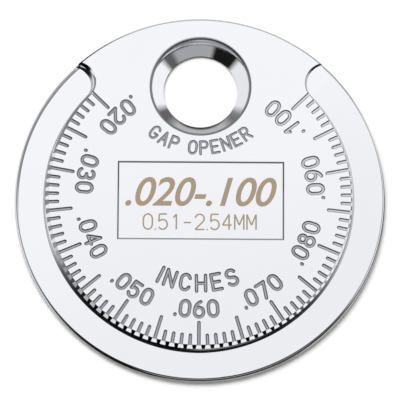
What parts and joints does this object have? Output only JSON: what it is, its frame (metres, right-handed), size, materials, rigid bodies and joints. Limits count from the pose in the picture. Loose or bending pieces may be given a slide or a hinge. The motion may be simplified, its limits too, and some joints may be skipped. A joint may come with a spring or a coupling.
{
  "type": "spark plug gap gauge",
  "caption": "Coin-shaped spark plug gap gauge: graduated hub, surrounding ring whose thickness climbs like a screw thread, and a countersunk gap opener hole.",
  "frame": {"origin": "centre of the disc on the hub's back face, which is the face it lies on", "axes": "+Z through the thickness, out of the front face with the inch scale; +Y from the disc's centre to the gap opener hole; +X to the right as the front face is read"},
  "size_m": [0.038, 0.038, 0.0032],
  "materials": {
    "chrome": "bright chrome plate, polished, with a fine satin in the engraved marks"
  },
  "bodies": {
    "root": {"gauge_disc": "chrome"}
  },
  "joints": []
}
